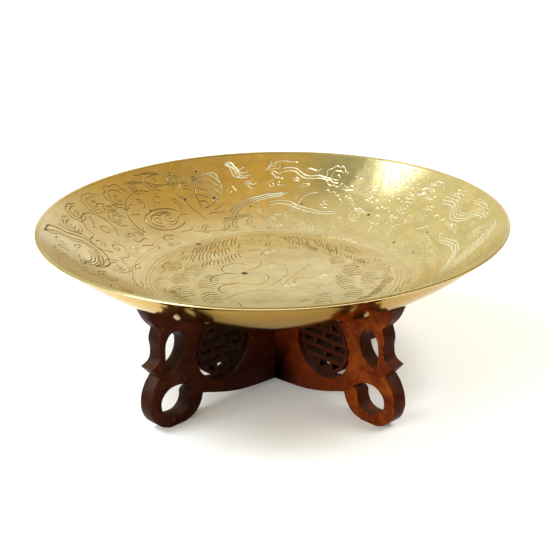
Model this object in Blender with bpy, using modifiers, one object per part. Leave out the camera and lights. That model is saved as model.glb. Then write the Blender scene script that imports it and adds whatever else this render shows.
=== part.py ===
"""Round brass dish on a knock-down stand of two carved hardwood boards.

The boards cross at right angles on a halving joint: the lower board is slotted from the top,
the upper board from below, and each carries two pierced fret discs let into round openings.
The dish sits loose on the boards' flat tops, between the four claws.

Metres, +Z up, origin on the floor under the crossing. The upper board lies along X and the
lower board along Y. In a board's own outline, u is the distance from the crossing and v the
height above the floor.
"""

import math

import bmesh
import bpy
from mathutils import Matrix

MM = 0.001
FIT_GAP = 0.3 * MM
MERGE = 0.01 * MM

# Dish: a flat well, then a wall that curves up to a rolled rim.
DISH_RADIUS = 190 * MM
DISH_HEIGHT = 51.8 * MM
DISH_THICKNESS = 2.1 * MM
WELL_RADIUS = 100 * MM
RIM_HALF_WIDTH = 1.8 * MM
RIM_HALF_HEIGHT = 1.2 * MM
RIM_OVERHANG = 0.4 * MM
WALL_CURVE_POWER = 1.6
WALL_STEPS = 10
RIM_STEPS = 6
DISH_SIDES = 64

# Boards of the stand.
BOARD_THICKNESS = 13 * MM
BOARD_TOP = 91.2 * MM
HALVING_HEIGHT = 48 * MM
BOARD_CURVE_STEPS = 8

# Fret discs.
FRET_CENTRE_U = 62.5 * MM
FRET_CENTRE_V = 51.5 * MM
FRET_OPENING_RADIUS = 28.3 * MM
FRET_RING_RADIUS = 25 * MM
FRET_BAND = 3.2 * MM
FRET_BAR_V = 4.2 * MM
FRET_MIDDLE_UPRIGHT_U = 10 * MM
FRET_TOP_UPRIGHT_U = 7 * MM
FRET_THICKNESS = 9 * MM
FRET_SIDES = 40

DISH_BOTTOM = BOARD_TOP + FIT_GAP
SLOT_WIDTH = BOARD_THICKNESS + 2 * FIT_GAP

# Right half of a board's outline in millimetres (u, v), from the underside at the crossing,
# round the foot, the spur and the claw, back to the flat top. "corner" points are sharp.
BOARD_HALF_OUTLINE = (
    (30, 5.0, "smooth"),
    (56, 9.0, "smooth"),
    (85.7, 18.2, "corner"),
    (88.3, 11.0, "smooth"),
    (95, 3.4, "smooth"),
    (105, 0, "corner"),
    (121, 0, "corner"),
    (130.5, 4.8, "smooth"),
    (137.3, 14.5, "smooth"),
    (138.4, 27, "smooth"),
    (134.2, 38.6, "smooth"),
    (128.6, 45.6, "corner"),
    (136.4, 54.6, "corner"),
    (128.8, 58.6, "smooth"),
    (126.8, 66, "smooth"),
    (127.6, 76, "smooth"),
    (125.2, 84, "corner"),
    (132.2, 92.2, "smooth"),
    (137.7, 103.0, "corner"),
    (130.5, 99.9, "smooth"),
    (122.4, 96.2, "smooth"),
    (114.2, 91.2, "smooth"),
    (108, 87.4, "smooth"),
    (101.5, 88.0, "smooth"),
    (96, BOARD_TOP / MM, "corner"),
)

# Leaf-shaped hole above the spur, pointed at its foot.
LEAF_HOLE = (
    (120.2, 47.2, "corner"),
    (121.6, 64, "smooth"),
    (118.6, 75.6, "smooth"),
    (111.5, 79.2, "smooth"),
    (104.4, 74.4, "smooth"),
    (102.6, 65, "smooth"),
    (105.6, 56.6, "smooth"),
    (112, 50.6, "smooth"),
)

# Comma-shaped hole through the foot: an oval with a tail that points back to the crossing.
FOOT_HOLE = (
    (112, 8.0, "smooth"),
    (123, 11.6, "smooth"),
    (128.2, 21.4, "smooth"),
    (123.6, 30.4, "smooth"),
    (112.5, 33.8, "smooth"),
    (101.5, 30.6, "smooth"),
    (94.8, 25.8, "corner"),
    (99.8, 22.6, "smooth"),
    (100.6, 17, "smooth"),
    (104.4, 10.8, "smooth"),
)


def clear_scene():
    """Remove every object, so that the script builds the same model each run."""
    for item in list(bpy.data.objects):
        bpy.data.objects.remove(item, do_unlink=True)


def new_collection(name):
    """Make a collection in the scene."""
    collection = bpy.data.collections.new(name)
    bpy.context.scene.collection.children.link(collection)
    return collection


def new_material(name, colour, metallic, roughness):
    """Make a Principled material of one colour."""
    made = bpy.data.materials.new(name)
    made.use_nodes = True
    shader = made.node_tree.nodes["Principled BSDF"]
    shader.inputs["Base Color"].default_value = (*colour, 1.0)
    shader.inputs["Metallic"].default_value = metallic
    shader.inputs["Roughness"].default_value = roughness
    made.diffuse_color = (*colour, 1.0)
    return made


def move_to(item, collection):
    """Put an object in one collection only."""
    for old in list(item.users_collection):
        old.objects.unlink(item)
    collection.objects.link(item)


def mark_cutter(item):
    """Show an object as a wire helper that takes no part in the model."""
    move_to(item, cutters)
    item.hide_render = True
    item.display_type = "WIRE"


def box(name, centre, size):
    """Make a box of the given size, with its scale applied to its mesh."""
    bpy.ops.mesh.primitive_cube_add(size=1, location=centre)
    made = bpy.context.object
    made.name = name
    made.data.transform(Matrix.Diagonal((*size, 1)))
    return made


def cylinder(name, radius, depth, sides):
    """Make an upright cylinder at the origin."""
    bpy.ops.mesh.primitive_cylinder_add(vertices=sides, radius=radius, depth=depth)
    made = bpy.context.object
    made.name = name
    return made


def combine(target, other, operation):
    """Add an exact Boolean that joins, cuts or trims the target with another object."""
    modifier = target.modifiers.new(f"{operation.lower()}_{other.name}", "BOOLEAN")
    modifier.operation = operation
    modifier.solver = "EXACT"
    modifier.object = other


def evaluated_mesh(item, name):
    """Give the mesh that an object shows after its modifiers, with its seams welded."""
    graph = bpy.context.evaluated_depsgraph_get()
    mesh = bpy.data.meshes.new_from_object(item.evaluated_get(graph))
    mesh.name = name
    work = bmesh.new()
    work.from_mesh(mesh)
    bmesh.ops.remove_doubles(work, verts=work.verts, dist=MERGE)
    work.to_mesh(mesh)
    work.free()
    return mesh


def mirrored_outline(half):
    """Close a half outline with its mirror image about the crossing."""
    return half + tuple((-u, v, kind) for u, v, kind in reversed(half))


def mirrored_hole(hole):
    """Give a hole and its mirror image about the crossing."""
    return hole, tuple((-u, v, kind) for u, v, kind in hole)


def add_outline(curve, points):
    """Add a closed Bezier spline through points given in millimetres."""
    spline = curve.splines.new("BEZIER")
    spline.bezier_points.add(len(points) - 1)
    spline.use_cyclic_u = True
    for knot, (u, v, kind) in zip(spline.bezier_points, points):
        knot.co = (u * MM, v * MM, 0)
        handle = "VECTOR" if kind == "corner" else "AUTO"
        knot.handle_left_type = handle
        knot.handle_right_type = handle


def wall_height(radius):
    """Height of the dish's underside above its flat bottom, at a radius outside the well."""
    wall_radius = DISH_RADIUS - RIM_OVERHANG
    wall_top = DISH_HEIGHT - RIM_HALF_HEIGHT
    share = max(0.0, radius - WELL_RADIUS) / (wall_radius - WELL_RADIUS)
    return wall_top * share**WALL_CURVE_POWER


def dish_profile():
    """Half section of the dish: over the inside, round the rim, and down the outside."""
    wall_radius = DISH_RADIUS - RIM_OVERHANG
    rim_centre_r = DISH_RADIUS - RIM_HALF_WIDTH
    rim_centre_z = DISH_HEIGHT - RIM_HALF_HEIGHT
    step = (wall_radius - WELL_RADIUS) / WALL_STEPS
    inside = [(0.0, DISH_THICKNESS)]
    outside = [(0.0, 0.0)]
    for count in range(WALL_STEPS):
        radius = WELL_RADIUS + count * step
        height = wall_height(radius)
        slope = math.atan2(
            wall_height(radius + MERGE) - wall_height(radius - MERGE), 2 * MERGE
        )
        outside.append((radius, height))
        inside.append(
            (
                radius - DISH_THICKNESS * math.sin(slope),
                height + DISH_THICKNESS * math.cos(slope),
            )
        )
    rim = []
    for count in range(RIM_STEPS + 1):
        angle = math.radians(190 - 230 * count / RIM_STEPS)
        rim.append(
            (
                rim_centre_r + RIM_HALF_WIDTH * math.cos(angle),
                rim_centre_z + RIM_HALF_HEIGHT * math.sin(angle),
            )
        )
    return inside + rim + outside[::-1]


def make_dish(material):
    """Turn the dish from its half section."""
    points = [(radius, 0.0, height) for radius, height in dish_profile()]
    mesh = bpy.data.meshes.new("brass_dish")
    mesh.from_pydata(points, [(i, i + 1) for i in range(len(points) - 1)], [])
    dish = bpy.data.objects.new("brass_dish", mesh)
    parts.objects.link(dish)
    dish.location = (0, 0, DISH_BOTTOM)
    screw = dish.modifiers.new("turn", "SCREW")
    screw.axis = "Z"
    screw.steps = DISH_SIDES
    screw.render_steps = DISH_SIDES
    screw.use_merge_vertices = True
    screw.merge_threshold = MERGE
    mesh.materials.append(material)
    return dish


def make_board(name, turn, slot_from_top, material):
    """Saw one board from its outline and holes, then cut its half of the crossing."""
    curve = bpy.data.curves.new(name, "CURVE")
    curve.dimensions = "2D"
    curve.fill_mode = "BOTH"
    curve.extrude = BOARD_THICKNESS / 2
    curve.resolution_u = BOARD_CURVE_STEPS
    add_outline(curve, mirrored_outline(BOARD_HALF_OUTLINE))
    for hole in mirrored_hole(LEAF_HOLE) + mirrored_hole(FOOT_HOLE):
        add_outline(curve, hole)
    sawn = bpy.data.objects.new(f"{name}_outline", curve)
    cutters.objects.link(sawn)
    sawn.rotation_euler = (math.radians(90), 0, turn)
    bpy.context.view_layer.update()
    board = bpy.data.objects.new(name, evaluated_mesh(sawn, name))
    parts.objects.link(board)
    board.matrix_world = sawn.matrix_world
    bpy.data.objects.remove(sawn)
    board.data.materials.append(material)

    reach = 2 * BOARD_TOP
    if slot_from_top:
        slot_centre_v = HALVING_HEIGHT + reach / 2
    else:
        slot_centre_v = HALVING_HEIGHT + FIT_GAP - reach / 2
    slot = box(f"{name}_slot", (0, slot_centre_v, 0), (SLOT_WIDTH, reach, SLOT_WIDTH))
    slot.parent = board
    mark_cutter(slot)
    combine(board, slot, "DIFFERENCE")
    for side in (-1, 1):
        opening = cylinder(
            f"{name}_opening", FRET_OPENING_RADIUS, 2 * BOARD_THICKNESS, FRET_SIDES
        )
        opening.location = (side * FRET_CENTRE_U, FRET_CENTRE_V, 0)
        opening.parent = board
        mark_cutter(opening)
        combine(board, opening, "DIFFERENCE")
    return board


def make_fret_mesh():
    """Pierced disc: a ring and a plain lattice of bars with staggered uprights."""
    inner = FRET_RING_RADIUS - FRET_BAND
    band_middle = inner + FRET_BAND / 2
    half_band = FRET_BAND / 2

    ring = cylinder("fret_ring", FRET_RING_RADIUS, FRET_THICKNESS, FRET_SIDES)
    hollow = cylinder("fret_hollow", inner, 2 * FRET_THICKNESS, FRET_SIDES)
    combine(ring, hollow, "DIFFERENCE")
    helpers = [ring, hollow]

    def lay(left, right, low, high):
        """Join a bar of the fret's thickness that spans u and v."""
        bar = box(
            f"fret_bar_{len(helpers)}",
            ((left + right) / 2, (low + high) / 2, 0),
            (right - left, high - low, FRET_THICKNESS),
        )
        combine(ring, bar, "UNION")
        helpers.append(bar)

    def lay_upright(upright_u, low, high):
        """Join an upright bar centred on u."""
        lay(upright_u - half_band, upright_u + half_band, low, high)

    outer_bar_v = 3 * FRET_BAR_V
    outer_bar_end = math.sqrt(band_middle**2 - outer_bar_v**2)
    top_upright_end = math.sqrt(band_middle**2 - FRET_TOP_UPRIGHT_U**2)
    for side in (-1, 1):
        inner_v = side * FRET_BAR_V
        outer_v = side * outer_bar_v
        lay(-FRET_OPENING_RADIUS, FRET_OPENING_RADIUS, inner_v - half_band, inner_v + half_band)
        lay(-outer_bar_end, outer_bar_end, outer_v - half_band, outer_v + half_band)
        lay_upright(0, *sorted((inner_v, outer_v)))
        lay_upright(side * FRET_MIDDLE_UPRIGHT_U, -FRET_BAR_V, FRET_BAR_V)
        for hand in (-1, 1):
            lay_upright(hand * FRET_TOP_UPRIGHT_U, *sorted((outer_v, side * top_upright_end)))

    trim = cylinder(
        "fret_trim", FRET_OPENING_RADIUS - FIT_GAP, 2 * FRET_THICKNESS, FRET_SIDES
    )
    combine(ring, trim, "INTERSECT")
    helpers.append(trim)
    mesh = evaluated_mesh(ring, "fret_disc")
    for helper in helpers:
        bpy.data.objects.remove(helper, do_unlink=True)
    return mesh


def make_frets(board, names, mesh):
    """Set a fret disc in each of a board's two round openings."""
    for side, name in zip((1, -1), names):
        fret = bpy.data.objects.new(name, mesh)
        parts.objects.link(fret)
        fret.parent = board
        fret.location = (side * FRET_CENTRE_U, FRET_CENTRE_V, 0)


clear_scene()
parts = new_collection("brass_dish_on_stand")
cutters = new_collection("cutters")

brass = new_material("polished_brass", (0.66, 0.50, 0.22), 1.0, 0.22)
wood = new_material("lacquered_hardwood", (0.16, 0.045, 0.015), 0.0, 0.35)
fret_wood = new_material("dark_fretwork", (0.09, 0.03, 0.012), 0.0, 0.45)

lower_board = make_board("lower_board", math.radians(90), True, wood)
upper_board = make_board("upper_board", 0.0, False, wood)

fret_mesh = make_fret_mesh()
fret_mesh.materials.append(fret_wood)
make_frets(upper_board, ("fret_disc_front_right", "fret_disc_back_left"), fret_mesh)
make_frets(lower_board, ("fret_disc_back_right", "fret_disc_front_left"), fret_mesh)

make_dish(brass)
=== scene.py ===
import math

import bmesh
import bpy
import numpy as np
from mathutils import Matrix, Vector
from mathutils.geometry import delaunay_2d_cdt
from mathutils.kdtree import KDTree


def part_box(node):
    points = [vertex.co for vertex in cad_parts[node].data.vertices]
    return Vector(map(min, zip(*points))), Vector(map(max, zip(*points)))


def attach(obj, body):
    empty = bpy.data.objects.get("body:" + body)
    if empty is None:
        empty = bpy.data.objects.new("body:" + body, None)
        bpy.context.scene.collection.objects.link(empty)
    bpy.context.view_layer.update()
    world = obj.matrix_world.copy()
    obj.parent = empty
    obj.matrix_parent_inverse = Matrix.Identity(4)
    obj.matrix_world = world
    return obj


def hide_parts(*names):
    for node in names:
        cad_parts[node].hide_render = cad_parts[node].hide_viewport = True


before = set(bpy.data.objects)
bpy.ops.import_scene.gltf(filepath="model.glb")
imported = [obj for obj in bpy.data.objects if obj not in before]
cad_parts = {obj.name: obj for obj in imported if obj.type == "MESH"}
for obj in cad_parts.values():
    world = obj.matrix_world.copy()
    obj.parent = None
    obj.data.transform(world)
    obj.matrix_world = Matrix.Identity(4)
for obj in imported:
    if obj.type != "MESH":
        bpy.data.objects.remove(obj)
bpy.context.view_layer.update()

MM = 0.001
TAU = 2 * math.pi

# ---- Measures ----
# Lengths of the dish and its engraving are in millimetres until the mesh is made.

dish_low, dish_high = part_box("brass_dish")
DISH_RADIUS = dish_high.x / MM
DISH_BOTTOM = dish_low.z
DISH_HEIGHT = (dish_high.z - dish_low.z) / MM
DISH_THICKNESS = 2.1
WELL_RADIUS = 100
RIM_HALF_WIDTH = 1.8
RIM_HALF_HEIGHT = 1.2
RIM_OVERHANG = 0.4
WALL_CURVE_POWER = 1.6
RIM_CENTRE_R = DISH_RADIUS - RIM_HALF_WIDTH
RIM_CENTRE_Z = DISH_HEIGHT - RIM_HALF_HEIGHT
WALL_RADIUS = DISH_RADIUS - RIM_OVERHANG
WALL_REACH = WALL_RADIUS - WELL_RADIUS
INNER_EDGE_RADIUS = RIM_CENTRE_R - 0.99 * RIM_HALF_WIDTH
DISH_SIDES = 320

# The engraver's work: a V-shaped cut, and how far apart its points are.
CUT_STEP = 1.1
CUT_WIDTH = 0.88
CUT_DEPTH = 0.36
CUT_TAPER = 3.0
WOBBLE_LENGTHS = (5.5, 11.0, 19.0)
RIM_MARGIN_RADIUS = 179
RIM_MARGIN_EASE = 5

# The camera stands in front of the corner between the +X and -Y arms.
VIEW_AZIMUTH = math.radians(46.5)
VIEW_ELEVATION = math.radians(21.39)
VIEW_ROLL = math.radians(-1.11)
VIEW_DISTANCE = 1.0997
VIEW_TARGET_RIGHT = 0.0013
VIEW_TARGET_HEIGHT = 0.0927
VIEW_LENS = 87.63
VIEW_SENSOR = 36
LIGHT_TARGET_HEIGHT = 0.09
FLOOR_SIZE = 30
FLOOR_GAP = 0.2 * MM

# Brown spots in the brass, seen from above with the camera's corner at the bottom: x, y, radius.
BLEMISHES = (
    (-24, 4, 3.2), (-65, 76, 3.0), (-53, 141, 1.8), (-79, 132, 1.9), (-108, 106, 1.4), (-70, 162, 1.6),
    (-20, 137, 1.3), (27, 138, 1.2), (86, 108, 1.8), (104, 58, 1.4), (118, 30, 1.3), (70, 14, 1.2),
    (-46, 12, 0.9), (86, 30, 1.1), (10, 176, 1.2), (-98, 60, 1.1), (58, 118, 1.0), (132, 52, 1.2),
)

rng = np.random.default_rng(seed=11)


# ---- Node helpers ----

class Nodes:
    """A short way to write the node tree of a material or of the world."""

    def __init__(self, owner):
        owner.use_nodes = True
        self.owner = owner
        self.tree = owner.node_tree
        self.coordinates = self.add("TexCoord").outputs
        self.position = self.coordinates["Object"]

    def set(self, socket, value):
        """Give a socket a value or a link."""
        if isinstance(value, bpy.types.NodeSocket):
            self.tree.links.new(value, socket)
        else:
            socket.default_value = value

    def fill(self, node, inputs):
        """Set a node's inputs by name, with underscores for spaces."""
        for name, value in inputs.items():
            self.set(node.inputs[name.replace("_", " ")], value)

    def add(self, kind, **inputs):
        """A new node with some of its inputs set."""
        node = self.tree.nodes.new("ShaderNode" + kind)
        self.fill(node, inputs)
        return node

    def operate(self, kind, operation, first, second):
        """The outputs of a math node."""
        node = self.add(kind)
        node.operation = operation
        self.set(node.inputs[0], first)
        self.set(node.inputs[1], second)
        return node.outputs

    def math(self, operation, first, second=0.0):
        return self.operate("Math", operation, first, second)["Value"]

    def times(self, first, second):
        return self.math("MULTIPLY", first, second)

    def plus(self, first, second):
        return self.math("ADD", first, second)

    def minus(self, first, second):
        return self.math("SUBTRACT", first, second)

    def vector_math(self, operation, first, second=(0, 0, 0)):
        return self.operate("VectorMath", operation, first, second)

    def stretch(self, scale, turn):
        """Object coordinates, scaled and turned."""
        return self.add("Mapping", Vector=self.position, Scale=scale, Rotation=turn).outputs["Vector"]

    def split(self, vector):
        return self.add("SeparateXYZ", Vector=vector).outputs

    def pattern_axes(self):
        """Coordinates turned so that the camera's corner is at -Y, then their X and Y."""
        turned = self.stretch((1, 1, 1), (0, 0, -VIEW_AZIMUTH))
        parts = self.split(turned)
        return turned, parts["X"], parts["Y"]

    def round_axis(self):
        """Direction from the upright axis, and distance from it."""
        level = self.vector_math("MULTIPLY", self.position, (1, 1, 0))["Vector"]
        return self.vector_math("NORMALIZE", level)["Vector"], self.vector_math("LENGTH", level)["Value"]

    def arcs(self, along, across):
        """Coordinates that draw a noise out into arcs round the upright axis."""
        way, radius = self.round_axis()
        outward = self.add("CombineXYZ", Z=self.times(radius, across)).outputs["Vector"]
        way = self.vector_math("MULTIPLY", way, (along, along, along))["Vector"]
        return self.vector_math("ADD", way, outward)["Vector"]

    def noise(self, scale, detail, rough, vector=None, distortion=0):
        node = self.add("TexNoise", Vector=vector or self.position, Scale=scale, Detail=detail,
                        Roughness=rough, Distortion=distortion)
        return node.outputs["Fac"]

    def ramp(self, source, stops):
        """Colour ramp through stops of a value and a colour; a plain number is a grey."""
        node = self.add("ValToRGB", Fac=source)
        elements = node.color_ramp.elements
        while len(elements) < len(stops):
            elements.new(0.5)
        for element, (at, colour) in zip(elements, stops):
            element.position = at
            if isinstance(colour, (int, float)):
                colour = (colour, colour, colour)
            element.color = (*colour, 1)
        return node.outputs["Color"]

    def rise(self, source, low, high, top=1.0):
        """0 below a low value of the source, climbing to the top at a high value and beyond."""
        return self.ramp(source, [(low, 0.0), (high, top)])

    def mix(self, share, first, second, blend="MIX"):
        """Mix two colours; each may be a socket, a colour or a plain number for a grey."""
        node = self.add("Mix")
        node.data_type = "RGBA"
        node.blend_type = blend
        self.set(node.inputs["Factor"], share)
        # The colour sockets of this node are its inputs 6 and 7 and its output 2.
        for socket, value in ((node.inputs[6], first), (node.inputs[7], second)):
            if isinstance(value, float):
                value = (value, value, value)
            if isinstance(value, tuple):
                value = (*value, 1)
            self.set(socket, value)
        return node.outputs[2]

    def specks(self, scale, chosen, edge):
        """Small blots round some of many scattered points: which ones, and where a blot ends."""
        node = self.add("TexVoronoi", Vector=self.position, Scale=scale)
        return self.times(self.rise(node.outputs["Color"], *chosen),
                          self.ramp(node.outputs["Distance"], [(edge[0], 1.0), (edge[1], 0.0)]))

    def near(self, centre, radius):
        """1 inside an uneven blot round a point in millimetres, 0 outside it."""
        away = self.vector_math("DISTANCE", self.position, [MM * value for value in centre])["Value"]
        ragged = self.times(self.noise(260, 3, 0.6), 1.3 * radius * MM)
        reach = self.plus(away, ragged)
        return self.ramp(self.math("DIVIDE", reach, 2 * radius * MM), [(0.62, 1.0), (0.92, 0.0)])

    def attribute(self, name):
        node = self.add("Attribute")
        node.attribute_name = name
        return node.outputs["Fac"]

    def bump(self, height, strength, distance, **earlier):
        """Normals bent by a height, on top of an earlier bump's Normal if there is one."""
        node = self.add("Bump", Height=height, Strength=strength, Distance=distance, **earlier)
        return node.outputs["Normal"]

    def finish(self, **inputs):
        """Set the material's shader inputs and give the material back."""
        self.fill(self.tree.nodes["Principled BSDF"], inputs)
        return self.owner


# ---- The dish's surface ----

def outer_height(radius):
    """Height of the underside above the flat bottom."""
    share = np.clip(radius - WELL_RADIUS, 0, None) / WALL_REACH
    return RIM_CENTRE_Z * share**WALL_CURVE_POWER


def outer_slope(radius):
    """Angle of the wall above level."""
    share = np.clip(radius - WELL_RADIUS, 0, None) / WALL_REACH
    rise = RIM_CENTRE_Z * WALL_CURVE_POWER / WALL_REACH
    return np.arctan(rise * share ** (WALL_CURVE_POWER - 1))


# The inner surface, found by stepping square to the underside at stations crowded near the well.
STATION_R = WELL_RADIUS + WALL_REACH * np.linspace(0, 1, 600) ** 1.7
INNER_SLOPE = outer_slope(STATION_R)
INNER_R = STATION_R - DISH_THICKNESS * np.sin(INNER_SLOPE)
INNER_Z = outer_height(STATION_R) + DISH_THICKNESS * np.cos(INNER_SLOPE)

# Slow waves that beating and handling leave in the sheet: length, height, direction, phase.
# They fade out near the rim, and lie a little low so that few crests stand above the plain sheet.
WAVE_FADE = 12
WAVE_DROP = 0.2
WAVES = (
    (74, 0.16, 0.4, 0.3),
    (58, 0.12, 1.5, 1.9),
    (41, 0.09, 2.6, 4.1),
    (33, 0.06, 0.9, 2.2),
    (26, 0.04, 2.1, 5.3),
    (17, 0.018, 0.2, 1.1),
    (13, 0.010, 1.8, 3.7),
)


def sheet_waves(x, y):
    """Height of the sheet's slow waves, and their slope along x and y."""
    height = np.zeros_like(x)
    slope_x = np.zeros_like(x)
    slope_y = np.zeros_like(x)
    for length, size, turn, phase in WAVES:
        along = TAU / length * (x * math.cos(turn) + y * math.sin(turn)) + phase
        height += size * np.sin(along)
        slope_x += size * TAU / length * math.cos(turn) * np.cos(along)
        slope_y += size * TAU / length * math.sin(turn) * np.cos(along)
    return height, slope_x, slope_y


def inner_surface(x, y):
    """Height and unit normals of the dish's uncut inner surface."""
    radius = np.hypot(x, y)
    height = np.where(radius <= INNER_R[0], DISH_THICKNESS, np.interp(radius, INNER_R, INNER_Z))
    slope = np.tan(np.where(radius <= INNER_R[0], 0, np.interp(radius, INNER_R, INNER_SLOPE)))
    fade = np.clip((INNER_EDGE_RADIUS - radius) / WAVE_FADE, 0, 1)
    wave, wave_x, wave_y = sheet_waves(x, y)
    safe = np.maximum(radius, 1e-6)
    normals = np.stack(
        [-(slope * x / safe + fade * wave_x), -(slope * y / safe + fade * wave_y), np.ones_like(x)],
        axis=-1,
    )
    normals /= np.linalg.norm(normals, axis=-1, keepdims=True)
    return height + fade * (wave - WAVE_DROP), normals


# ---- Engraving: lines in flat millimetres ----

cuts = []


def interpolated(at, run, values):
    """Rows of values that are known along a run, at other places on it."""
    return np.column_stack([np.interp(at, run, column) for column in values.T])


def resample(points, step):
    """Points at even distances along a polyline."""
    points = np.asarray(points, float)
    lengths = np.hypot(*np.diff(points, axis=0).T)
    apart = lengths > 1e-9
    run = np.append(0, np.cumsum(lengths[apart]))
    count = max(2, int(round(run[-1] / step)) + 1)
    return interpolated(np.linspace(0, run[-1], count), run, points[np.append(True, apart)])


def along_and_across(path):
    """Unit directions along a polyline, and square to it."""
    along = np.gradient(path, axis=0)
    along /= np.maximum(np.linalg.norm(along, axis=1, keepdims=True), 1e-9)
    return along, np.column_stack([-along[:, 1], along[:, 0]])


def rotated(points, angle):
    """Flat points, turned about (0, 0) by an angle in radians."""
    c, s = math.cos(angle), math.sin(angle)
    return np.asarray(points) @ np.array([[c, s], [-s, c]])


def smooth(points):
    """A Catmull-Rom curve through given points, with eight steps between two of them."""
    points = np.asarray(points, float)
    padded = np.vstack([2 * points[0] - points[1], points, 2 * points[-1] - points[-2]])
    out = []
    for a, b, c, d in zip(padded, padded[1:], padded[2:], padded[3:]):
        t = np.linspace(0, 1, 8, endpoint=False)[:, None]
        out.append(
            0.5 * (2 * b + (c - a) * t + (2 * a - 5 * b + 4 * c - d) * t**2
                   + (3 * b - a - 3 * c + d) * t**3)
        )
    return np.vstack([*out, points[-1:]])


def arc(x, y, rx, ry, start, end):
    """Part of an ellipse, from one angle to another in degrees."""
    angle = np.radians(np.linspace(start, end, 36))
    return np.column_stack([x + rx * np.cos(angle), y + ry * np.sin(angle)])


def spiral(x, y, size, turns, start=0, hand=1):
    """A curl that winds in to its centre."""
    t = np.linspace(1, 0.1, int(22 * turns))
    angle = math.radians(start) + hand * TAU * turns * (1 - t)
    return np.column_stack([x + size * t * np.cos(angle), y + 0.85 * size * t * np.sin(angle)])


def scallops(x, y, size, lobes, start, end, depth=0.2, squash=0.8):
    """A lobed outline, whole or in part."""
    angle = np.radians(np.linspace(start, end, 10 * lobes + 1))
    reach = size * (1 - depth + depth * np.abs(np.sin(lobes * angle / 2)) ** 0.75)
    return np.column_stack([x + reach * np.cos(angle), y + squash * reach * np.sin(angle)])


def stroke(root, length, heading, bend):
    """A stroke that leaves its root at a heading and turns by a bend, both in degrees."""
    angle = np.radians(heading + bend * np.linspace(0, 1, 9))
    steps = length / 8 * np.column_stack([np.cos(angle), np.sin(angle)])
    return root + np.vstack([(0, 0), np.cumsum(steps[1:], axis=0)])


def comb(spine, length, lean, bend, gap):
    """Strokes that leave a spine at an angle and bend towards their tips."""
    spine = resample(spine, gap)
    heading = np.degrees(np.arctan2(*np.gradient(spine, axis=0).T[::-1]))
    lines = []
    for k, (root, way) in enumerate(zip(spine, heading)):
        share = (k + 0.5) / len(spine)
        reach = length * (0.35 + 0.65 * math.sin(math.pi * share))
        reach *= 0.88 + 0.24 * rng.random()
        lines.append(stroke(root, reach, way + lean, bend))
    return lines


def fan(spine, length, first, last, bend, gap):
    """Strokes whose direction turns from one angle to another along a row of roots."""
    roots = resample(smooth(spine), gap)
    lines = []
    for k, root in enumerate(roots):
        share = k / max(1, len(roots) - 1)
        reach = length * (0.55 + 0.45 * math.sin(math.pi * (0.12 + 0.76 * share)))
        reach *= 0.86 + 0.28 * rng.random()
        way = first + (last - first) * share + 5 * (rng.random() - 0.5)
        lines.append(stroke(root, reach, way, bend))
    return lines


def place(lines, x, y, turn=0, size=1):
    """Put flat lines on the dish, seen from above with the camera's corner at the bottom."""
    return [rotated(np.asarray(line) * size, math.radians(turn)) + (x, y) for line in lines]


def place_round(lines, radius, angle, turn=-90, size=1):
    """Put flat lines at a radius and an angle, turned with the dish."""
    way = math.radians(angle)
    return place(lines, radius * math.cos(way), radius * math.sin(way), angle + turn, size)


def below_rim(line):
    """Press a line that runs too near the rim back under it."""
    line = np.asarray(line, float)
    radius = np.hypot(*line.T)
    over = np.maximum(radius - RIM_MARGIN_RADIUS, 0)
    pressed = radius - over + RIM_MARGIN_EASE * np.tanh(over / RIM_MARGIN_EASE)
    return line * (pressed / np.maximum(radius, 1e-9))[:, None]


def cut(lines, width=1.0, depth=1.0, wobble=0.22, taper=True):
    """Engrave lines, with the unevenness of a hand-held graver."""
    for line in lines:
        line = resample(below_rim(line), CUT_STEP)
        if len(line) < 3:
            continue
        run = CUT_STEP * np.arange(len(line))
        drift = np.zeros_like(line)
        for wave in WOBBLE_LENGTHS:
            phase = rng.random(2) * TAU
            drift += wobble * wave / WOBBLE_LENGTHS[-1] * np.sin(TAU * run[:, None] / wave + phase)
        force = 0.85 + 0.3 * rng.random()
        cuts.append((line + drift, CUT_WIDTH * width * force, CUT_DEPTH * depth * force, taper))


def cut_curve(points, width=1.0, depth=1.0):
    """Engrave one smooth line through given points."""
    cut([smooth(points)], width, depth)


# Motifs. Each is a list of flat lines in millimetres about (0, 0).

def cloud(lobes, hand, tail):
    """A lobed cloud, about 10 in radius, with an inner rim, a curl and a trailing wisp."""
    lines = [
        scallops(0, 0, 10, lobes, 15, 330, squash=0.85),
        scallops(hand * 0.6, -0.4, 6.2, 4, 30, 300, depth=0.14, squash=0.85),
        spiral(hand * 0.8, -0.4, 3.5, 1.3, 200 if hand > 0 else -20, hand),
    ]
    if tail:
        lines.append(smooth([(hand * 8, -5), (hand * 12, -7.5), (hand * 16, -6), (hand * 21, -8)]))
        lines.append(smooth([(hand * 6.5, -7.5), (hand * 12, -10), (hand * 18, -9)]))
    return lines


def curl_pair(hand):
    """A small open cloud of two joined curls."""
    return [
        spiral(-4 * hand, 0, 4.6, 1.2, 0, hand),
        spiral(4.6 * hand, 0.8, 4.0, 1.1, 180, -hand),
        scallops(0, 0, 9.6, 6, 10, 190, depth=0.18, squash=0.75),
    ]


def hook(hand):
    """An open C-shaped curl with a second line inside it."""
    return [arc(0, 0, 4.6, 5.2, 70, 300) * (hand, 1), arc(0.6, 0, 2.4, 2.8, 60, 290) * (hand, 1)]


def blossom(petals):
    """A lobed flower: outline, second rim, heart and petal veins."""
    vein = [(2.9, 0), (4.3, 0.3), (5.7, 0)]
    return [
        scallops(0, 0, 10, petals, 0, 360, depth=0.26, squash=0.95),
        scallops(0, 0, 6.6, petals, 0, 360, depth=0.2, squash=0.95),
        arc(0, 0, 2.4, 2.3, 0, 360),
        *(rotated(vein, TAU * (k + 0.5) / petals) for k in range(petals)),
    ]


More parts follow.
